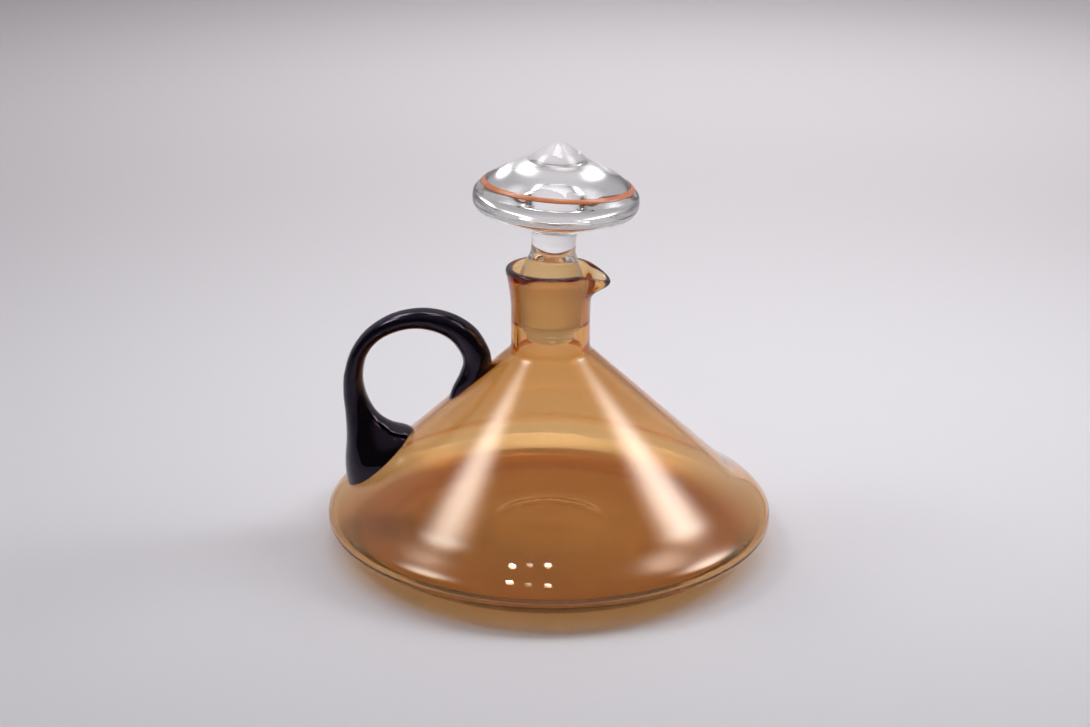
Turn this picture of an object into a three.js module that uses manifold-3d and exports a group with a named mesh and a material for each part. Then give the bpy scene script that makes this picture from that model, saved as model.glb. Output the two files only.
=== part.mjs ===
// A conical blown-glass decanter: an amber body with a pulled pouring lip, a black glass loop
// handle laid on its slope, and a clear mushroom stopper with one painted enamel line.
// Millimetres, +Z up. The foot stands on z = 0 about the origin, the handle is towards -X.

import * as THREE from "three";
import { mergeVertices } from "three/addons/utils/BufferGeometryUtils.js";
import Module from "manifold-3d";

const wasm = await Module();
wasm.setup();

// ---- Driving dimensions ----

const GAP = 0.3; // air left between pieces that touch

// Body: widest ring, foot and the straight cone z = CONE_APEX - CONE_DROP * r
const RIM_RADIUS = 85;
const RIM_HEIGHT = 12.3;
const CONE_APEX = 89.6;
const CONE_DROP = 0.9215;
const CONE_FOOT_RADIUS = 74; // where the straight cone turns into the rounded shoulder
const CONE_WALL = 2.6; // under the neck
const RIM_WALL = 2;
const FOOT_OUTER_RADIUS = 69.5;
const FOOT_INNER_RADIUS = 65;
const FOOT_RECESS = 1; // how far the underside inside the foot ring clears the table
const RECESS_RADIUS = 40; // from here the underside slopes down to the foot ring
const PUNT_RADIUS = 20.5; // the pushed-up middle of the base
const PUNT_HEIGHT = 5;
const BASE_WALL = 2.2;

// Neck and mouth
const NECK_RADIUS = 14.8;
const NECK_TOP = 94; // above this the neck flares out to the mouth
const NECK_BORE_RADIUS = 12.2;
const GROUND_TOP = 103; // the ground seat for the plug, a slow taper
const GROUND_BOTTOM = 87;
const GROUND_TOP_RADIUS = 12.4;
const GROUND_BOTTOM_RADIUS = 11.6;
const MOUTH_RADIUS = 17;
const LIP_RADIUS = 15.4;
const LIP_HEIGHT = 107.4;
const MOUTH_INNER_RADIUS = 13.8;

// Pouring lip, pulled out of the mouth opposite the handle
const SPOUT_REACH = 5.6;
const SPOUT_DROOP = 3.2;
const SPOUT_AZIMUTH = THREE.MathUtils.degToRad(-10);
const SPOUT_SPREAD = THREE.MathUtils.degToRad(22);

// Stopper: plug, shank and head
const PLUG_BOTTOM = 79.6;
const SHANK_RADIUS = 8.3;
const HEAD_RADIUS = 30.6;
const STOPPER_TOP = 155;
const LEAN = THREE.MathUtils.degToRad(2.4); // the stopper's hand-made tilt away from the handle
const LEAN_PIVOT = 95;
const LEAN_START = 101;
const LEAN_FULL = 112;

// Enamel line painted on the head's dome
const LINE_RADIUS = 28.4; // its outer edge
const LINE_SLIDE = 0.6; // how far it lies off the dome's middle, away from the handle
const LINE_WIDTH = 1.6;
const LINE_THICKNESS = 0.5;

// Facets round each lathe, round the handle's rod and along it
const BODY_SEGMENTS = 72;
const STOPPER_SEGMENTS = 48;
const ROD_SEGMENTS = 20;
const ROD_STEPS = 44;

// ---- Shared geometry ----

const point = (r, z) => new THREE.Vector2(r, z);

function smoothStep(value, start, end) {
  return THREE.MathUtils.smoothstep(value, start, end);
}

// A profile of (radius, height) points, turned about the Z axis.
function lathe(profile, segments) {
  const geometry = new THREE.LatheGeometry(profile, segments);
  geometry.rotateX(Math.PI / 2);
  return geometry;
}

// Moves every vertex of a geometry by a function that edits a Vector3 in place.
function deform(geometry, move) {
  const position = geometry.attributes.position;
  const vertex = new THREE.Vector3();
  for (let i = 0; i < position.count; i += 1) {
    vertex.fromBufferAttribute(position, i);
    move(vertex);
    position.setXYZ(i, vertex.x, vertex.y, vertex.z);
  }
  return geometry;
}

function toSolid(geometry) {
  const bare = geometry.clone();
  bare.deleteAttribute("normal");
  bare.deleteAttribute("uv");
  const merged = mergeVertices(bare, 1e-5);
  return new wasm.Manifold(new wasm.Mesh({
    numProp: 3,
    vertProperties: new Float32Array(merged.attributes.position.array),
    triVerts: new Uint32Array(merged.index.array),
  }));
}

function toGeometry(solid) {
  const mesh = solid.getMesh();
  const geometry = new THREE.BufferGeometry();
  geometry.setAttribute("position", new THREE.BufferAttribute(mesh.vertProperties, 3));
  geometry.setIndex(new THREE.BufferAttribute(mesh.triVerts, 1));
  return geometry;
}

function piece(name, geometry, colour, finish) {
  const material = new THREE.MeshStandardMaterial({ color: colour, ...finish });
  const mesh = new THREE.Mesh(geometry, material);
  mesh.name = name;
  return mesh;
}

// ---- Body ----

// Height of the cone's surface, shifted inwards by a wall thickness (outwards if negative).
function coneHeight(radius, inset) {
  return CONE_APEX - CONE_DROP * radius - inset * Math.hypot(1, CONE_DROP);
}

// The rounded shoulder from the widest ring up to the straight cone, moved inwards by inset.
function shoulder(inset, steps) {
  const top = point(CONE_FOOT_RADIUS, coneHeight(CONE_FOOT_RADIUS, 0));
  const curve = new THREE.CubicBezierCurve(
    point(RIM_RADIUS, RIM_HEIGHT),
    point(RIM_RADIUS, RIM_HEIGHT + 3.5),
    point(top.x + 3, top.y - 3 * CONE_DROP),
    top,
  );
  const points = [];
  for (let i = 0; i <= steps; i += 1) {
    const along = curve.getTangent(i / steps);
    const on = curve.getPoint(i / steps);
    points.push(point(on.x - along.y * inset, on.y + along.x * inset));
  }
  return points;
}

// Underside from the middle of the base to the widest ring: punt, recess, flat foot, flare.
function underside() {
  return [
    point(0, PUNT_HEIGHT + 0.4),
    point(PUNT_RADIUS - 8.5, PUNT_HEIGHT),
    point(PUNT_RADIUS - 3, PUNT_HEIGHT - 0.8),
    point(PUNT_RADIUS, PUNT_HEIGHT - 1.8),
    point(PUNT_RADIUS + 3.5, FOOT_RECESS + 1),
    point(PUNT_RADIUS + 7.5, FOOT_RECESS + 0.3),
    point(RECESS_RADIUS, FOOT_RECESS),
    point(FOOT_INNER_RADIUS, 0),
    point(FOOT_OUTER_RADIUS, 0),
    point(FOOT_OUTER_RADIUS + 1.3, 0.5),
    point(FOOT_OUTER_RADIUS + 2.8, 1.8),
    point(FOOT_OUTER_RADIUS + 4.9, 3.9),
    point(RIM_RADIUS - 7, 6.3),
    point(RIM_RADIUS - 2.6, 9.4),
    point(RIM_RADIUS - 0.7, 10.9),
  ];
}

// Inside of the base, from the widest ring back to the axis.
function floor() {
  return [
    point(RIM_RADIUS - 4, 10.9),
    point(RIM_RADIUS - 7.5, 8.7),
    point(RIM_RADIUS - 11, 6.6),
    point(FOOT_OUTER_RADIUS, FOOT_RECESS + BASE_WALL + 1.2),
    point(FOOT_OUTER_RADIUS - 7, FOOT_RECESS + BASE_WALL),
    point(PUNT_RADIUS + 9, FOOT_RECESS + BASE_WALL),
    point(PUNT_RADIUS + 3, FOOT_RECESS + BASE_WALL + 1),
    point(PUNT_RADIUS - 3, PUNT_HEIGHT + BASE_WALL - 0.9),
    point(PUNT_RADIUS - 8.5, PUNT_HEIGHT + BASE_WALL - 0.2),
    point(0, PUNT_HEIGHT + BASE_WALL),
  ];
}

// Outside of the neck from the cone to the mouth, over the rounded lip and down the bore.
function neckAndMouth() {
  return [
    point(NECK_RADIUS + 2, coneHeight(NECK_RADIUS + 2, 0)),
    point(NECK_RADIUS + 0.5, coneHeight(NECK_RADIUS, 0) - 0.1),
    point(NECK_RADIUS, coneHeight(NECK_RADIUS, 0) + 2),
    point(NECK_RADIUS, NECK_TOP - 4),
    point(NECK_RADIUS + 0.1, NECK_TOP),
    point(NECK_RADIUS + 0.6, NECK_TOP + 4),
    point(MOUTH_RADIUS - 1, NECK_TOP + 8),
    point(MOUTH_RADIUS - 0.3, LIP_HEIGHT - 3),
    point(MOUTH_RADIUS, LIP_HEIGHT - 1.5),
    point(MOUTH_RADIUS - 0.6, LIP_HEIGHT - 0.4),
    point(LIP_RADIUS, LIP_HEIGHT),
    point(LIP_RADIUS - 1.1, LIP_HEIGHT - 0.5),
    point(MOUTH_INNER_RADIUS, LIP_HEIGHT - 1.6),
    point(MOUTH_INNER_RADIUS - 0.7, LIP_HEIGHT - 3),
    point(GROUND_TOP_RADIUS, GROUND_TOP),
    point(GROUND_BOTTOM_RADIUS, GROUND_BOTTOM),
    point(NECK_BORE_RADIUS, GROUND_BOTTOM - 1.5),
    point(NECK_BORE_RADIUS, coneHeight(NECK_BORE_RADIUS, CONE_WALL) + 1.5),
    point(NECK_BORE_RADIUS + 2, coneHeight(NECK_BORE_RADIUS + 2, CONE_WALL)),
  ];
}

// Pulls the mouth outwards and a little down about the spout's direction.
function pullSpout(vertex) {
  const rise = smoothStep(vertex.z, NECK_TOP, LIP_HEIGHT - 1) ** 1.5;
  const angle = Math.atan2(vertex.y, vertex.x) - SPOUT_AZIMUTH;
  const turn = Math.atan2(Math.sin(angle), Math.cos(angle)) / SPOUT_SPREAD;
  const pull = rise * Math.exp(-turn * turn);
  const radius = Math.hypot(vertex.x, vertex.y);
  const stretch = 1 + (SPOUT_REACH * pull) / Math.max(radius, 1);
  vertex.set(vertex.x * stretch, vertex.y * stretch, vertex.z - SPOUT_DROOP * pull);
}

function bodyGeometry() {
  const profile = [
    ...underside(),
    ...shoulder(0, 7),
    ...neckAndMouth(),
    ...shoulder(RIM_WALL, 6).reverse(),
    ...floor(),
  ];
  return deform(lathe(profile, BODY_SEGMENTS), pullSpout);
}

// ---- Handle ----

// The loop's two edges in the plane of the handle, from the foot pad up and over to the neck
// pad: distance out from the axis, height, then half the rod's width at that station.
const HANDLE_INNER_EDGE = [
  [51, 39.5], [54.6, 41.9], [60.6, 43.5], [65.4, 46.6], [68.5, 51], [70.6, 56.6], [71.3, 62.8],
  [69.6, 70.6], [64.6, 77], [57, 80.9], [48.9, 82], [41, 80], [36, 76], [33.1, 70.2],
  [34.4, 64.5], [37.3, 58.4], [39.6, 50.5],
];
const HANDLE_OUTER_EDGE = [
  [76.4, 14.5], [78.5, 20.5], [79, 28.5], [78.3, 38], [78.5, 47.2], [79.1, 56], [78.4, 64.2],
  [75.2, 73.6], [69, 81.6], [59.4, 87.6], [48, 89.9], [37, 88], [28.4, 82.7], [23.4, 75],
  [22.2, 69.8], [21.9, 66.5], [21.6, 62.5],
];
const HANDLE_HALF_WIDTH = [
  14.2, 13.2, 10.4, 7.8, 6.3, 5.5, 5.2, 5.1, 5.1, 5.2, 5.3, 5.4, 5.5, 5.6, 5.8, 5.9, 5.4,
];

function edgeCurve(edge) {
  const points = edge.map(([out, height], i) => (
    new THREE.Vector3(-out, HANDLE_HALF_WIDTH[i], height)
  ));
  return new THREE.CatmullRomCurve3(points);
}

// Everything the body fills, grown by the gap, to cut the pads to the cone and shoulder.
function bodyCutter() {
  const profile = [
    point(0, 0),
    point(RIM_RADIUS + GAP, 0),
    ...shoulder(-GAP, 7),
    point(10, coneHeight(10, -GAP)),
    point(0, coneHeight(10, -GAP)),
  ];
  return toSolid(lathe(profile, BODY_SEGMENTS));
}

// A unit cylinder whose rings are laid as ellipses between the loop's two edges.
function handleGeometry() {
  const inner = edgeCurve(HANDLE_INNER_EDGE);
  const outer = edgeCurve(HANDLE_OUTER_EDGE);
  const rod = new THREE.CylinderGeometry(1, 1, 1, ROD_SEGMENTS, ROD_STEPS);
  deform(rod, (vertex) => {
    const along = 0.5 + vertex.y;
    const from = inner.getPoint(along);
    const to = outer.getPoint(along);
    const across = (1 + vertex.x) / 2;
    vertex.set(
      from.x + (to.x - from.x) * across,
      vertex.z * from.y,
      from.z + (to.z - from.z) * across,
    );
  });
  return toGeometry(toSolid(rod).subtract(bodyCutter()));
}

// ---- Stopper ----

// The head's top surface: a shallow dome that runs out concave into a small drawn point.
const DOME = [
  [30.2, 136.2], [29.2, 137.5], [27.6, 139.1], [25.5, 140.7], [22.5, 142.7], [18.5, 144.8],
  [14.5, 146.7], [11.6, 147.9], [10, 149.2], [8.2, 150.6], [6, 152], [3, 153.9],
  [1.5, 154.7], [0, STOPPER_TOP],
];

// Leans the stopper by a growing turn about the Y axis, so that the plug itself stays upright.
function leanStopper(vertex) {
  const angle = LEAN * smoothStep(vertex.z, LEAN_START, LEAN_FULL);
  const rise = vertex.z - LEAN_PIVOT;
  vertex.set(
    vertex.x * Math.cos(angle) + rise * Math.sin(angle),
    vertex.y,
    LEAN_PIVOT + rise * Math.cos(angle) - vertex.x * Math.sin(angle),
  );
}

function stopperGeometry() {
  const profile = [
    point(0, PLUG_BOTTOM),
    point(8, PLUG_BOTTOM),
    point(9.6, PLUG_BOTTOM + 1.2),
    point(GROUND_BOTTOM_RADIUS - GAP - 0.4, GROUND_BOTTOM - 1.4),
    point(GROUND_BOTTOM_RADIUS - GAP, GROUND_BOTTOM),
    point(GROUND_TOP_RADIUS - GAP, GROUND_TOP),
    point(GROUND_TOP_RADIUS - GAP - 0.2, 104.4),
    point(10.9, 106.8),
    point(9.6, 110),
    point(8.6, 112.8),
    point(SHANK_RADIUS, 114.5),
    point(SHANK_RADIUS, 120.6),
    point(SHANK_RADIUS + 0.7, 122.3),
    point(SHANK_RADIUS + 2.3, 123.4),
    point(14, 124.2),
    point(18, 125.2),
    point(23, 126.6),
    point(27, 128.1),
    point(HEAD_RADIUS - 1.4, 129.5),
    point(HEAD_RADIUS - 0.3, 131.2),
    point(HEAD_RADIUS, 133),
    point(HEAD_RADIUS, 134.6),
    ...DOME.map(([radius, height]) => point(radius, height)),
  ];
  return deform(lathe(profile, STOPPER_SEGMENTS), leanStopper);
}

// A flat ribbon of enamel lying just off the dome, along its slope at the line's radius.
function enamelGeometry() {
  const upper = DOME.findIndex(([radius]) => radius < LINE_RADIUS);
  const [outRadius, outHeight] = DOME[upper - 1];
  const [inRadius, inHeight] = DOME[upper];
  const slope = point(inRadius - outRadius, inHeight - outHeight).normalize();
  const climb = (outRadius - LINE_RADIUS) / -slope.x;
  const start = point(LINE_RADIUS, outHeight + slope.y * climb);
  const corner = (along, off) => (
    point(start.x + slope.x * along + slope.y * off, start.y + slope.y * along - slope.x * off)
  );
  const profile = [
    corner(0, GAP),
    corner(0, GAP + LINE_THICKNESS),
    corner(LINE_WIDTH, GAP + LINE_THICKNESS),
    corner(LINE_WIDTH, GAP),
    corner(0, GAP),
  ];
  const ribbon = deform(lathe(profile, STOPPER_SEGMENTS), (vertex) => {
    const radius = Math.hypot(vertex.x, vertex.y);
    const slide = (LINE_SLIDE * vertex.x) / radius;
    const stretch = 1 - (slope.x * slide) / radius;
    vertex.set(vertex.x * stretch, vertex.y * stretch, vertex.z - slope.y * slide);
  });
  return deform(ribbon, leanStopper);
}

// ---- The object ----

const POLISHED = { roughness: 0.05, metalness: 0 };

const body = new THREE.Group();
body.add(piece("body", bodyGeometry(), 0xc88d48, POLISHED));
body.add(piece("handle", handleGeometry(), 0x0d0712, POLISHED));

const stopper = new THREE.Group();
stopper.add(piece("stopper", stopperGeometry(), 0xdcdcd8, POLISHED));
stopper.add(piece("enamel_line", enamelGeometry(), 0xe1784f, { roughness: 0.3, metalness: 0 }));

const group = new THREE.Group();
group.add(body, stopper);

export default group;
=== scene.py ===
"""A conical amber decanter with a black loop handle and a clear stopper, on a pale table.

The outlines follow the CAD part's, in millimetres, with every bend rounded and every surface
fine. The foot and the bends beside the widest ring are softer than in CAD. Lengths become metres
in the last step of each mesh.
"""

import math

import bmesh
import bpy
from mathutils import Matrix, Quaternion, Vector


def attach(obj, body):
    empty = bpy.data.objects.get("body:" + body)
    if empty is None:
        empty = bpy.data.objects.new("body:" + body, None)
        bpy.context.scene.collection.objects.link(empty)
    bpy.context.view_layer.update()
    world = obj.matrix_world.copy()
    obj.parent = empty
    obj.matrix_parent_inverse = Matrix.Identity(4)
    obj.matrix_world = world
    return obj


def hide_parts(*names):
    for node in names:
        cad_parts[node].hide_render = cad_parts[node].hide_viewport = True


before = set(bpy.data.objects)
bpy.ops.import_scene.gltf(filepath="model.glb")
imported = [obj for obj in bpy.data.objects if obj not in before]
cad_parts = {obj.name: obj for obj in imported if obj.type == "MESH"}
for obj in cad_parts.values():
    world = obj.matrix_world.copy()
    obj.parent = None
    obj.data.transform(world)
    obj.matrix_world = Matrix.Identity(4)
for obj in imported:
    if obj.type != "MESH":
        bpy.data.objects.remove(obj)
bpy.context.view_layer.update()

MM = 0.001

# ---- Driving dimensions, millimetres ----

RIM_RADIUS = 85
RIM_HEIGHT = 12.3
CONE_APEX = 89.6
CONE_DROP = 0.9215
CONE_FOOT_RADIUS = 70  # where the straight cone starts to bend into the shoulder
SHOULDER_RISE = 3.9  # how far the shoulder's curve is pulled upwards at the widest ring
SHOULDER_REACH = 7  # how far it is pulled outwards along the cone
CONE_WALL = 2.6
RIM_WALL = 2
FOOT_OUTER_RADIUS = 69.5
FOOT_RECESS = 1
RECESS_RADIUS = 40
PUNT_RADIUS = 20.5
PUNT_HEIGHT = 5
BASE_WALL = 2.2

NECK_RADIUS = 14.8
NECK_TOP = 94
NECK_BORE_RADIUS = 12.2
GROUND_TOP = 103
GROUND_BOTTOM = 87
GROUND_TOP_RADIUS = 12.4
GROUND_BOTTOM_RADIUS = 11.6
MOUTH_RADIUS = 17
LIP_RADIUS = 15.4
LIP_HEIGHT = 107.4
MOUTH_INNER_RADIUS = 13.8

SPOUT_REACH = 5.6
SPOUT_DROOP = 3.2
SPOUT_AZIMUTH = math.radians(-10)
SPOUT_SPREAD = math.radians(22)

PLUG_GAP = 0.3
PLUG_BOTTOM = 79.6
SHANK_RADIUS = 8.3
HEAD_RADIUS = 30.6
STOPPER_TOP = 155
LEAN = math.radians(2.4)
LEAN_PIVOT = 95
LEAN_START = 101
LEAN_FULL = 112

DOME_FOOT = 135  # the dome lies above this height
LINE_RADIUS = 28.4  # the orange line's outer edge
LINE_SLIDE = 0.6  # how far the line is off centre, along the slope
LINE_WIDTH = 2.1
LINE_THICKNESS = 0.12

# ---- Fineness of the visible meshes ----

BODY_SEGMENTS = 256
STOPPER_SEGMENTS = 192
BODY_STEP = 2.4  # longest step along the body's outline
STOPPER_STEP = 2
SHOULDER_STEPS = 24
HEAD_STEPS = 6  # between two knots of the stopper's head
ROD_SEGMENTS = 64
ROD_STEPS = 220
EDGE_ANGLE = math.radians(40)  # a sharper bend in the handle is shaded as an edge
BEND_STEPS = 6  # points in one rounded corner
SEAT = 0.03  # air between pieces that the hot glass joins on the real object
LINE_SEAT = 0.08  # air under the enamel line


# ---- Shared geometry ----

def smooth_step(value, start, end):
    t = min(max((value - start) / (end - start), 0), 1)
    return t * t * (3 - 2 * t)


def rounded(corners):
    """A path through (radius, height, bend) corners; bend is how far along a corner is cut."""
    path = []
    last = len(corners) - 1
    for i, (radius, height, bend) in enumerate(corners):
        here = Vector((radius, height))
        if bend == 0 or i in (0, last):
            path.append(here)
            continue
        before = Vector(corners[i - 1][:2]) - here
        after = Vector(corners[i + 1][:2]) - here
        start = here + before.normalized() * min(bend, before.length * 0.5)
        end = here + after.normalized() * min(bend, after.length * 0.5)
        for step in range(BEND_STEPS + 1):
            t = step / BEND_STEPS
            path.append(start * (1 - t) ** 2 + here * (2 * t * (1 - t)) + end * t ** 2)
    return path


def finer(path, longest):
    """The same path with no step longer than the given length."""
    points = [path[0]]
    for here in path[1:]:
        before = points[-1]
        count = max(1, math.ceil((here - before).length / longest))
        points += [before.lerp(here, k / count) for k in range(1, count + 1)]
    return points


def finish_mesh(name, mesh_data, move):
    """Turns a bmesh in millimetres into a smooth-shaded object in metres."""
    for vertex in mesh_data.verts:
        vertex.co = move(vertex.co) * MM
    bmesh.ops.recalc_face_normals(mesh_data, faces=mesh_data.faces)
    mesh = bpy.data.meshes.new(name)
    mesh_data.to_mesh(mesh)
    mesh_data.free()
    mesh.shade_smooth()
    obj = bpy.data.objects.new(name, mesh)
    bpy.context.scene.collection.objects.link(obj)
    return obj


def lathe(name, path, segments, move=lambda co: co):
    """Turns a path about the Z axis. An end on the axis closes in a fan; a closed path joins."""
    work = bmesh.new()
    closed = (path[0] - path[-1]).length < 1e-6
    points = path[:-1] if closed else path
    rings = []
    for point in points:
        if point.x < 1e-6:
            rings.append([work.verts.new((0, 0, point.y))])
            continue
        ring = []
        for k in range(segments):
            angle = 2 * math.pi * k / segments
            ring.append(work.verts.new((
                point.x * math.cos(angle), point.x * math.sin(angle), point.y)))
        rings.append(ring)
    pairs = list(zip(rings, rings[1:]))
    if closed:
        pairs.append((rings[-1], rings[0]))
    for lower, upper in pairs:
        for k in range(segments):
            nxt = (k + 1) % segments
            if len(lower) == 1:
                work.faces.new((lower[0], upper[nxt], upper[k]))
            elif len(upper) == 1:
                work.faces.new((lower[k], lower[nxt], upper[0]))
            else:
                work.faces.new((lower[k], lower[nxt], upper[nxt], upper[k]))
    return finish_mesh(name, work, move)


def catmull_rom(points, t):
    """A smooth curve through a list of Vectors, t from 0 to 1 along it."""
    span = t * (len(points) - 1)
    i = min(int(span), len(points) - 2)
    u = span - i
    p1 = points[i]
    p2 = points[i + 1]
    p0 = points[i - 1] if i > 0 else p1 * 2 - p2
    p3 = points[i + 2] if i + 2 < len(points) else p2 * 2 - p1
    return 0.5 * (
        p1 * 2 + (p2 - p0) * u + (p0 * 2 - p1 * 5 + p2 * 4 - p3) * u ** 2
        + (p1 * 3 - p0 - p2 * 3 + p3) * u ** 3)


# ---- Body ----

def cone_height(radius, inset):
    return CONE_APEX - CONE_DROP * radius - inset * math.hypot(1, CONE_DROP)


def shoulder(inset):
    """From the widest ring up to the straight cone, moved inwards by inset."""
    ring = Vector((RIM_RADIUS, RIM_HEIGHT))
    top = Vector((CONE_FOOT_RADIUS, cone_height(CONE_FOOT_RADIUS, 0)))
    pull_ring = ring + Vector((0, SHOULDER_RISE))
    pull_top = top + Vector((SHOULDER_REACH, -SHOULDER_REACH * CONE_DROP))
    points = []
    for step in range(SHOULDER_STEPS + 1):
        t = step / SHOULDER_STEPS
        s = 1 - t
        on = ring * s ** 3 + pull_ring * (3 * s * s * t) + pull_top * (3 * s * t * t) + top * t ** 3
        along = (
            (pull_ring - ring) * s * s + (pull_top - pull_ring) * (2 * s * t)
            + (top - pull_top) * t * t
        ).normalized()
        points.append(on + Vector((-along.y, along.x)) * inset)
    return points


def underside():
    return rounded([
        (0, PUNT_HEIGHT + 0.4, 0),
        (PUNT_RADIUS - 5, PUNT_HEIGHT, 5),
        (PUNT_RADIUS + 5, FOOT_RECESS + 0.4, 5),
        (RECESS_RADIUS, FOOT_RECESS, 6),
        (FOOT_OUTER_RADIUS + 0.5, -0.33, 7),
        (RIM_RADIUS - 5.7, 5.6, 4),
        (RIM_RADIUS, 9.9, 2.2),
        (RIM_RADIUS, RIM_HEIGHT, 0),
    ])


def floor_of_body():
    inner_rim = shoulder(RIM_WALL)[0]
    return rounded([
        (inner_rim.x, inner_rim.y, 0),
        (RIM_RADIUS - 2.7, 9.9, 1.5),
        (FOOT_OUTER_RADIUS - 0.4, 2.4, 10),
        (RECESS_RADIUS, FOOT_RECESS + BASE_WALL, 6),
        (PUNT_RADIUS + 5.5, FOOT_RECESS + BASE_WALL, 5),
        (PUNT_RADIUS - 5, PUNT_HEIGHT + BASE_WALL - 0.2, 5),
        (0, PUNT_HEIGHT + BASE_WALL, 0),
    ])


def neck_and_mouth():
    neck_foot = cone_height(NECK_RADIUS, 0)
    bore_foot = cone_height(NECK_BORE_RADIUS, CONE_WALL)
    return rounded([
        (CONE_FOOT_RADIUS - 1, cone_height(CONE_FOOT_RADIUS - 1, 0), 0),
        (NECK_RADIUS, neck_foot, 2.2),
        (NECK_RADIUS, NECK_TOP, 5),
        (MOUTH_RADIUS - 1, NECK_TOP + 8, 4),
        (MOUTH_RADIUS, LIP_HEIGHT - 1.4, 1),
        (MOUTH_RADIUS - 0.5, LIP_HEIGHT - 0.1, 0.8),
        (LIP_RADIUS - 1, LIP_HEIGHT - 0.1, 1),
        (MOUTH_INNER_RADIUS, LIP_HEIGHT - 1.8, 0.9),
        (GROUND_TOP_RADIUS, GROUND_TOP, 1.5),
        (GROUND_BOTTOM_RADIUS, GROUND_BOTTOM, 0.3),
        (NECK_BORE_RADIUS, GROUND_BOTTOM - 1.2, 0.5),
        (NECK_BORE_RADIUS, bore_foot, 2),
        (CONE_FOOT_RADIUS - 3, cone_height(CONE_FOOT_RADIUS - 3, RIM_WALL), 0),
    ])


def pull_spout(co):
    """Pulls the mouth outwards and a little down about the spout's direction."""
    rise = smooth_step(co.z, NECK_TOP, LIP_HEIGHT - 1) ** 1.5
    angle = math.atan2(co.y, co.x) - SPOUT_AZIMUTH
    turn = math.atan2(math.sin(angle), math.cos(angle)) / SPOUT_SPREAD
    pull = rise * math.exp(-turn * turn)
    radius = math.hypot(co.x, co.y)
    stretch = 1 + SPOUT_REACH * pull / max(radius, 1)
    return Vector((co.x * stretch, co.y * stretch, co.z - SPOUT_DROOP * pull))


def make_body():
    path = [
        *underside(),
        *shoulder(0)[1:],
        *neck_and_mouth(),
        *reversed(shoulder(RIM_WALL)[1:]),
        *floor_of_body(),
    ]
    return lathe("body_glass", finer(path, BODY_STEP), BODY_SEGMENTS, pull_spout)


# ---- Handle ----

HANDLE_INNER_EDGE = [
    (51, 39.5), (54.6, 41.9), (60.6, 43.5), (65.4, 46.6), (68.5, 51), (70.6, 56.6), (71.3, 62.8),
    (69.6, 70.6), (64.6, 77), (57, 80.9), (48.9, 82), (41, 80), (36, 76), (33.1, 70.2),
    (34.4, 64.5), (37.3, 58.4), (39.6, 50.5),
]
HANDLE_OUTER_EDGE = [
    (76.4, 14.5), (78.5, 20.5), (79, 28.5), (78.3, 38), (78.5, 47.2), (79.1, 56), (78.4, 64.2),
    (75.2, 73.6), (69, 81.6), (59.4, 87.6), (48, 89.9), (37, 88), (28.4, 82.7), (23.4, 75),
    (22.2, 69.8), (21.9, 66.5), (21.6, 62.5),
]
HANDLE_HALF_WIDTH = [
    14.2, 13.2, 10.4, 7.8, 6.3, 5.5, 5.2, 5.1, 5.1, 5.2, 5.3, 5.4, 5.5, 5.6, 5.8, 5.9, 5.4,
]


def handle_rod():
    """Ellipses laid between the loop's two edges, closed at both ends."""
    inner, outer = (
        [Vector((-out, half, height)) for (out, height), half in zip(edge, HANDLE_HALF_WIDTH)]
        for edge in (HANDLE_INNER_EDGE, HANDLE_OUTER_EDGE))
    work = bmesh.new()
    rings = []
    for step in range(ROD_STEPS + 1):
        low = catmull_rom(inner, step / ROD_STEPS)
        high = catmull_rom(outer, step / ROD_STEPS)
        ring = []
        for k in range(ROD_SEGMENTS):
            angle = 2 * math.pi * k / ROD_SEGMENTS
            across = (1 + math.cos(angle)) / 2
            ring.append(work.verts.new((
                low.x + (high.x - low.x) * across,
                math.sin(angle) * low.y,
                low.z + (high.z - low.z) * across,
            )))
        rings.append(ring)
    for lower, upper in zip(rings, rings[1:]):
        for k in range(ROD_SEGMENTS):
            nxt = (k + 1) % ROD_SEGMENTS
            work.faces.new((lower[k], lower[nxt], upper[nxt], upper[k]))
    work.faces.new(rings[0])
    work.faces.new(rings[-1])
    return finish_mesh("handle_glass", work, lambda co: co)


def body_cutter():
    """The body's outside as a solid, closed above the handle's pads inside the neck."""
    top = Vector((10, cone_height(10, -SEAT)))
    path = [
        Vector((0, 0)),
        Vector((RIM_RADIUS + SEAT, 0)),
        *shoulder(-SEAT),
        top,
        Vector((0, top.y)),
    ]
    return lathe("body_cutter", path, BODY_SEGMENTS)


def make_handle():
    """The rod with both ends cut to the cone, so that the pads seat on the glass."""
    rod = handle_rod()
    cutter = body_cutter()
    cut = rod.modifiers.new("seat", "BOOLEAN")
    cut.operation = "DIFFERENCE"
    cut.solver = "EXACT"
    cut.object = cutter
    bpy.context.view_layer.update()
    graph = bpy.context.evaluated_depsgraph_get()
    seated = bpy.data.meshes.new_from_object(rod.evaluated_get(graph))
    rod.modifiers.clear()
    rod.data = seated
    bpy.data.objects.remove(cutter)
    seated.shade_smooth()
    seated.set_sharp_from_angle(angle=EDGE_ANGLE)
    return rod


# ---- Stopper ----

HEAD = [
    (SHANK_RADIUS, 114.5), (SHANK_RADIUS, 120.6), (SHANK_RADIUS + 0.7, 122.3),
    (SHANK_RADIUS + 2.3, 123.4), (14, 124.2), (18, 125.2), (23, 126.6), (27, 128.1),
    (HEAD_RADIUS - 1.4, 129.5), (HEAD_RADIUS - 0.3, 131.2), (HEAD_RADIUS, 133),
    (HEAD_RADIUS, 134.6), (30.2, 136.2), (29.2, 137.5), (27.6, 139.1), (25.5, 140.7),
    (22.5, 142.7), (18.5, 144.8), (14.5, 146.7), (11.6, 147.9),
]
TIP = [
    (11.6, 147.9), (10, 149.2), (8.2, 150.6), (6, 152), (3, 153.9), (1.5, 154.7),
    (0, STOPPER_TOP),
]


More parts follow.
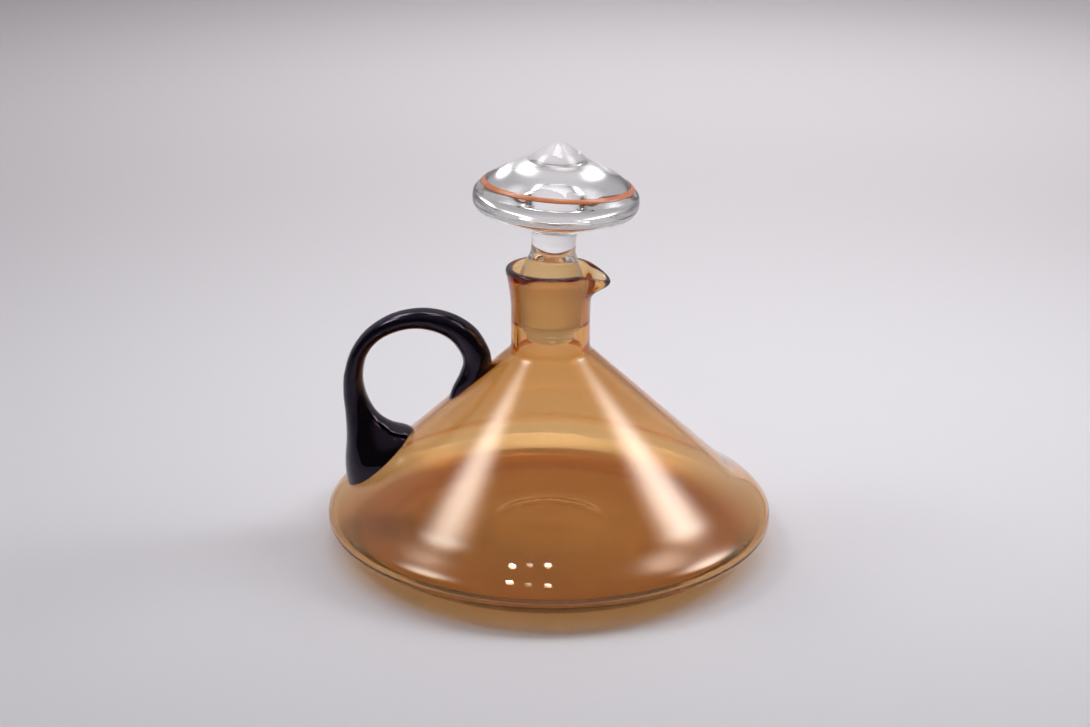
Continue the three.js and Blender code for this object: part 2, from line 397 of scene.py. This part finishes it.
def lean_stopper(co):
    """A growing turn about Y, so that the plug itself stays upright."""
    angle = LEAN * smooth_step(co.z, LEAN_START, LEAN_FULL)
    rise = co.z - LEAN_PIVOT
    return Vector((
        co.x * math.cos(angle) + rise * math.sin(angle),
        co.y,
        LEAN_PIVOT + rise * math.cos(angle) - co.x * math.sin(angle),
    ))


def head_curve():
    """From the shank round the head's edge and over the dome, with a crease under the point."""
    curve = []
    for run in (HEAD, TIP):
        knots = [Vector(knot) for knot in run]
        steps = HEAD_STEPS * (len(knots) - 1)
        curve += [catmull_rom(knots, k / steps) for k in range(1 if curve else 0, steps + 1)]
    curve[-1].x = 0
    return curve


def make_stopper():
    plug = rounded([
        (0, PLUG_BOTTOM, 0),
        (8.6, PLUG_BOTTOM, 1.2),
        (10.2, PLUG_BOTTOM + 3, 2),
        (GROUND_BOTTOM_RADIUS - PLUG_GAP - 0.3, GROUND_BOTTOM - 0.6, 0.5),
        (GROUND_BOTTOM_RADIUS - PLUG_GAP, GROUND_BOTTOM, 0.2),
        (GROUND_TOP_RADIUS - PLUG_GAP, GROUND_TOP, 0.5),
        (GROUND_TOP_RADIUS - PLUG_GAP - 0.2, 104.5, 0.6),
        (8.8, 112, 3),
        (SHANK_RADIUS, 113.6, 0.6),
        (SHANK_RADIUS, 114.5, 0),
    ])
    path = plug[:-1] + head_curve()
    return lathe("stopper_glass", finer(path, STOPPER_STEP), STOPPER_SEGMENTS, lean_stopper)


def make_enamel():
    """A thin raised ribbon on the dome, closed all round, laid a little off centre."""
    curve = [on for on in head_curve() if on.y > DOME_FOOT and on.x < LINE_RADIUS]
    outer = curve[0]
    inner = next(on for on in curve if (on - outer).length > LINE_WIDTH)
    slope = (inner - outer).normalized()
    out = Vector((slope.y, -slope.x))
    section = []
    for along, off in ((0, 0), (0.15, 0.7), (0.5, 1), (0.85, 0.7), (1, 0)):
        height = LINE_SEAT + LINE_THICKNESS * off
        section.append(outer + slope * (LINE_WIDTH * along) + out * height)
    section.append(section[0])

    def lay(co):
        radius = math.hypot(co.x, co.y)
        slide = LINE_SLIDE * co.x / radius
        stretch = 1 - slope.x * slide / radius
        return lean_stopper(Vector((co.x * stretch, co.y * stretch, co.z - slope.y * slide)))

    return lathe("enamel_ribbon", section, STOPPER_SEGMENTS, lay)


# ---- Materials ----

def new_material(name):
    material = bpy.data.materials.new(name)
    material.use_nodes = True
    nodes = material.node_tree.nodes
    return material, nodes, material.node_tree.links, nodes["Principled BSDF"]


def wavy(nodes, links, shader, scale, strength, distance):
    """The slow unevenness of hand-worked glass."""
    place = nodes.new("ShaderNodeTexCoord")
    waves = nodes.new("ShaderNodeTexNoise")
    waves.inputs["Scale"].default_value = scale
    waves.inputs["Detail"].default_value = 1
    bump = nodes.new("ShaderNodeBump")
    bump.inputs["Strength"].default_value = strength
    bump.inputs["Distance"].default_value = distance
    links.new(place.outputs["Object"], waves.inputs["Vector"])
    links.new(waves.outputs["Fac"], bump.inputs["Height"])
    links.new(bump.outputs["Normal"], shader.inputs["Normal"])
    return place


def absorb(nodes, links, colour, density):
    volume = nodes.new("ShaderNodeVolumeAbsorption")
    volume.inputs["Color"].default_value = (*colour, 1)
    volume.inputs["Density"].default_value = density
    links.new(volume.outputs["Volume"], nodes["Material Output"].inputs["Volume"])


def ground_band(nodes, links, shader, place, radius, low, high, dull, clear):
    """Roughness: dull between two heights on the inside of a radius, clear elsewhere."""
    parts = nodes.new("ShaderNodeSeparateXYZ")
    links.new(place.outputs["Object"], parts.inputs["Vector"])

    def math_node(operation, a, b):
        node = nodes.new("ShaderNodeMath")
        node.operation = operation
        for slot, value in enumerate((a, b)):
            if hasattr(value, "default_value"):
                links.new(value, node.inputs[slot])
            else:
                node.inputs[slot].default_value = value
        return node.outputs[0]

    x2 = math_node("MULTIPLY", parts.outputs["X"], parts.outputs["X"])
    y2 = math_node("MULTIPLY", parts.outputs["Y"], parts.outputs["Y"])
    r2 = math_node("ADD", x2, y2)
    inside = math_node("LESS_THAN", r2, (radius * MM) ** 2)
    above = math_node("GREATER_THAN", parts.outputs["Z"], low * MM)
    below = math_node("LESS_THAN", parts.outputs["Z"], high * MM)
    band = math_node("MULTIPLY", math_node("MULTIPLY", above, below), inside)
    scaled = math_node("MULTIPLY", band, dull - clear)
    links.new(math_node("ADD", scaled, clear), shader.inputs["Roughness"])


def amber_glass():
    material, nodes, links, shader = new_material("amber_glass")
    shader.inputs["Base Color"].default_value = (1, 1, 1, 1)
    shader.inputs["Transmission Weight"].default_value = 1
    shader.inputs["IOR"].default_value = 1.5
    place = wavy(nodes, links, shader, 24, 0.12, 0.0006)
    ground_band(nodes, links, shader, place, NECK_RADIUS - 1.2, GROUND_BOTTOM, GROUND_TOP, 0.3, 0.0)
    absorb(nodes, links, (0.895, 0.578, 0.0), 356)
    return material


def black_glass():
    material, nodes, links, shader = new_material("black_glass")
    shader.inputs["Base Color"].default_value = (1, 1, 1, 1)
    shader.inputs["Roughness"].default_value = 0.0
    shader.inputs["Transmission Weight"].default_value = 1
    shader.inputs["IOR"].default_value = 1.5
    shader.inputs["Specular Tint"].default_value = (0.88, 0.7, 1, 1)
    wavy(nodes, links, shader, 45, 0.2, 0.0005)
    absorb(nodes, links, (0.286, 0.0, 0.536), 1400)
    return material


def clear_glass():
    material, nodes, links, shader = new_material("clear_glass")
    shader.inputs["Base Color"].default_value = (1, 1, 1, 1)
    shader.inputs["Transmission Weight"].default_value = 1
    shader.inputs["IOR"].default_value = 1.52
    place = wavy(nodes, links, shader, 40, 0.08, 0.0005)
    ground_band(
        nodes, links, shader, place, NECK_RADIUS, GROUND_BOTTOM - 0.5, GROUND_TOP + 0.5, 0.35, 0.0)
    absorb(nodes, links, (0.86, 0.85, 0.8), 6)
    return material


def orange_enamel():
    material, nodes, links, shader = new_material("orange_enamel")
    place = wavy(nodes, links, shader, 400, 0.25, 0.0002)
    mottle = nodes.new("ShaderNodeTexNoise")
    mottle.inputs["Scale"].default_value = 160
    mottle.inputs["Detail"].default_value = 4
    colours = nodes.new("ShaderNodeValToRGB")
    colours.color_ramp.elements[0].position = 0.35
    colours.color_ramp.elements[0].color = (0.76, 0.17, 0.05, 1)
    colours.color_ramp.elements[1].position = 0.68
    colours.color_ramp.elements[1].color = (0.95, 0.31, 0.09, 1)
    links.new(place.outputs["Object"], mottle.inputs["Vector"])
    links.new(mottle.outputs["Fac"], colours.inputs["Fac"])
    links.new(colours.outputs["Color"], shader.inputs["Base Color"])
    shader.inputs["Roughness"].default_value = 0.3
    shader.inputs["Coat Weight"].default_value = 0.4
    shader.inputs["Coat Roughness"].default_value = 0.1
    return material


# ---- The pieces on the frame ----

PIECES = [
    (make_body, amber_glass, "decanter", "body", "amber_glass"),
    (make_handle, black_glass, "decanter", "handle", "black_glass"),
    (make_stopper, clear_glass, "stopper", "stopper", "clear_glass"),
    (make_enamel, orange_enamel, "stopper", "enamel_line", "orange_enamel"),
]

for make, finish, body, node, slot in PIECES:
    piece = make()
    piece.data.materials.clear()
    piece.data.materials.append(finish())
    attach(piece, body)
    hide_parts(node)


# ---- Camera, at the photograph's viewpoint ----

CAMERA_TURN = math.radians(3)  # the view's own azimuth about the decanter
CAMERA_DISTANCE = 0.63566
CAMERA_HEIGHT = 0.29315
CAMERA_PITCH = 0.33864
CAMERA_YAW = -0.00308
CAMERA_ROLL = math.radians(0.45)
CAMERA_LENS = 58.94


def add_camera():
    forward = Vector((
        math.sin(CAMERA_YAW) * math.cos(CAMERA_PITCH),
        math.cos(CAMERA_YAW) * math.cos(CAMERA_PITCH),
        -math.sin(CAMERA_PITCH),
    ))
    right = Vector((math.cos(CAMERA_YAW), -math.sin(CAMERA_YAW), 0))
    up = right.cross(forward)
    rolled_right = right * math.cos(CAMERA_ROLL) + up * math.sin(CAMERA_ROLL)
    rolled_up = up * math.cos(CAMERA_ROLL) - right * math.sin(CAMERA_ROLL)
    axes = Matrix((rolled_right, rolled_up, -forward)).transposed().to_4x4()
    place = Matrix.Translation((0, -CAMERA_DISTANCE, CAMERA_HEIGHT))
    data = bpy.data.cameras.new("camera")
    data.lens = CAMERA_LENS
    data.sensor_width = 36
    camera = bpy.data.objects.new("camera", data)
    camera.matrix_world = Matrix.Rotation(CAMERA_TURN, 4, "Z") @ place @ axes
    bpy.context.scene.collection.objects.link(camera)
    bpy.context.scene.camera = camera


# ---- Table and light, metres ----

TABLE_HALF = 4
TABLE_DROP = 0.05 * MM  # a breath of air under the foot, so that no two surfaces coincide

LIGHT_TARGET = Vector((0, 0, 0.05))
ROOM_DIM = 0.07  # radiance of the room on the camera's side
ROOM_SWEEP = 0.46  # radiance of the pale sweep behind
ROOM_TOP = 0.2  # radiance added by the pale ceiling
COOL = (0.9, 0.95, 1)  # the two large lamps' colour
LAMP_FADE = 0.28  # where a soft lamp has faded to 1/e, as a fraction of its side
FADE_POWER = 2.5  # how abruptly it fades there

LARGE_LAMP = {"distance": 0.95, "spread": 80, "colour": COOL, "soft": True}
TOP_LAMP = {
    "elevation": 58, "distance": 1.2, "size": (0.7, 0.7), "radiance": 0.5,
    "aim": Vector((0.08, 0.08, 0)), "spread": 46, "soft": True,
}
SPARKLE = {"distance": 0.93, "shape": "ELLIPSE"}
LAMPS = [
    {"name": "lamp_right", "azimuth": 16, "elevation": 38.2, "size": (0.72, 0.42), "radiance": 2,
     "roll": -36, **LARGE_LAMP},
    {"name": "lamp_left", "azimuth": 186.5, "elevation": 50, "size": (0.58, 0.38),
     "radiance": 1.7, "roll": 32, **LARGE_LAMP},
    {"name": "lamp_top", "azimuth": 30, **TOP_LAMP},
    {"name": "lamp_top", "azimuth": 150, **TOP_LAMP},
    {"name": "lamp_far", "azimuth": 85, "elevation": 68, "distance": 2.2, "size": (1, 1),
     "radiance": 0.88, "aim": Vector((0.12, 0.92, 0)), "spread": 48},
    {"name": "sparkle_a", "azimuth": -141, "elevation": 75.5, "size": (0.04, 0.04),
     "radiance": 30, **SPARKLE},
    {"name": "sparkle_b", "azimuth": -88, "elevation": 78.5, "size": (0.04, 0.04),
     "radiance": 30, **SPARKLE},
    {"name": "sparkle_c", "azimuth": -117, "elevation": 77.5, "size": (0.035, 0.035),
     "radiance": 8, **SPARKLE},
]


def add_table():
    mesh = bpy.data.meshes.new("table")
    corners = ((-1, -1), (1, -1), (1, 1), (-1, 1))
    mesh.from_pydata(
        [(x * TABLE_HALF, y * TABLE_HALF, -TABLE_DROP) for x, y in corners], [], [(0, 1, 2, 3)])
    table = bpy.data.objects.new("table", mesh)
    material, nodes, links, shader = new_material("table_paper")
    shader.inputs["Base Color"].default_value = (0.8, 0.77, 0.79, 1)
    shader.inputs["Roughness"].default_value = 0.7
    mesh.materials.append(material)
    bpy.context.scene.collection.objects.link(table)


def towards(azimuth, elevation):
    """A unit vector from the decanter, degrees round from +X and degrees up."""
    a = math.radians(azimuth)
    e = math.radians(elevation)
    return Vector((math.cos(e) * math.cos(a), math.cos(e) * math.sin(a), math.sin(e)))


def add_lamp(
        name, azimuth, elevation, distance, size, radiance, shape="RECTANGLE", roll=0,
        aim=LIGHT_TARGET, spread=180, colour=(1, 1, 1), soft=False):
    """A lamp of width by height; radiance is what its power gives at a full spread."""
    data = bpy.data.lights.new(name, "AREA")
    data.shape = shape
    data.size, data.size_y = size
    area = size[0] * size[1] * (math.pi / 4 if shape == "ELLIPSE" else 1)
    data.energy = radiance * math.pi * area
    data.spread = math.radians(spread)
    data.color = colour
    light = bpy.data.objects.new(name, data)
    light.location = LIGHT_TARGET + towards(azimuth, elevation) * distance
    facing = (light.location - aim).to_track_quat("Z", "Y")
    light.rotation_euler = (facing @ Quaternion((0, 0, 1), math.radians(roll))).to_euler()
    bpy.context.scene.collection.objects.link(light)
    if soft:
        soften(data)


def soften(data):
    """Fades a lamp from its middle towards its edge."""
    data.use_nodes = True
    nodes = data.node_tree.nodes
    links = data.node_tree.links
    place = nodes.new("ShaderNodeNewGeometry")
    centred = nodes.new("ShaderNodeVectorMath")
    centred.operation = "SUBTRACT"
    centred.inputs[1].default_value = (0.5, 0.5, 0)
    flat = nodes.new("ShaderNodeVectorMath")
    flat.operation = "MULTIPLY"
    flat.inputs[1].default_value = (1, 1, 0)
    square = nodes.new("ShaderNodeVectorMath")
    square.operation = "DOT_PRODUCT"
    shape = nodes.new("ShaderNodeMath")
    shape.operation = "POWER"
    shape.inputs[1].default_value = FADE_POWER / 2
    scaled = nodes.new("ShaderNodeMath")
    scaled.operation = "MULTIPLY"
    scaled.inputs[1].default_value = -1 / LAMP_FADE ** FADE_POWER
    bell = nodes.new("ShaderNodeMath")
    bell.operation = "EXPONENT"
    links.new(place.outputs["Parametric"], centred.inputs[0])
    links.new(centred.outputs["Vector"], flat.inputs[0])
    links.new(flat.outputs["Vector"], square.inputs[0])
    links.new(flat.outputs["Vector"], square.inputs[1])
    links.new(square.outputs["Value"], shape.inputs[0])
    links.new(shape.outputs["Value"], scaled.inputs[0])
    links.new(scaled.outputs["Value"], bell.inputs[0])
    links.new(bell.outputs["Value"], nodes["Emission"].inputs["Strength"])


def add_world():
    """A dim room with a pale studio sweep behind the decanter."""
    world = bpy.data.worlds.new("room")
    world.use_nodes = True
    nodes = world.node_tree.nodes
    links = world.node_tree.links
    background = nodes["Background"]
    background.inputs["Color"].default_value = (0.98, 0.95, 1.0, 1)
    place = nodes.new("ShaderNodeTexCoord")
    parts = nodes.new("ShaderNodeSeparateXYZ")
    links.new(place.outputs["Generated"], parts.inputs["Vector"])

    def ramp(value, start, end, low, high):
        node = nodes.new("ShaderNodeMapRange")
        node.interpolation_type = "SMOOTHSTEP"
        node.inputs["From Min"].default_value = start
        node.inputs["From Max"].default_value = end
        node.inputs["To Min"].default_value = low
        node.inputs["To Max"].default_value = high
        links.new(value, node.inputs["Value"])
        return node.outputs["Result"]

    behind = ramp(parts.outputs["Y"], -0.05, 0.45, ROOM_DIM, ROOM_SWEEP)
    above = ramp(parts.outputs["Z"], 0.5, 0.9, 0, ROOM_TOP)
    total = nodes.new("ShaderNodeMath")
    total.operation = "ADD"
    links.new(behind, total.inputs[0])
    links.new(above, total.inputs[1])
    links.new(total.outputs["Value"], background.inputs["Strength"])
    bpy.context.scene.world = world


add_camera()
add_table()
add_world()
for lamp in LAMPS:
    add_lamp(**lamp)

scene = bpy.context.scene
scene.view_settings.view_transform = "Standard"
scene.cycles.max_bounces = 32
scene.cycles.transmission_bounces = 28
scene.cycles.transparent_max_bounces = 16
scene.cycles.glossy_bounces = 12
scene.cycles.caustics_refractive = True
scene.cycles.caustics_reflective = True
scene.cycles.blur_glossy = 0.3
scene.cycles.sample_clamp_indirect = 24
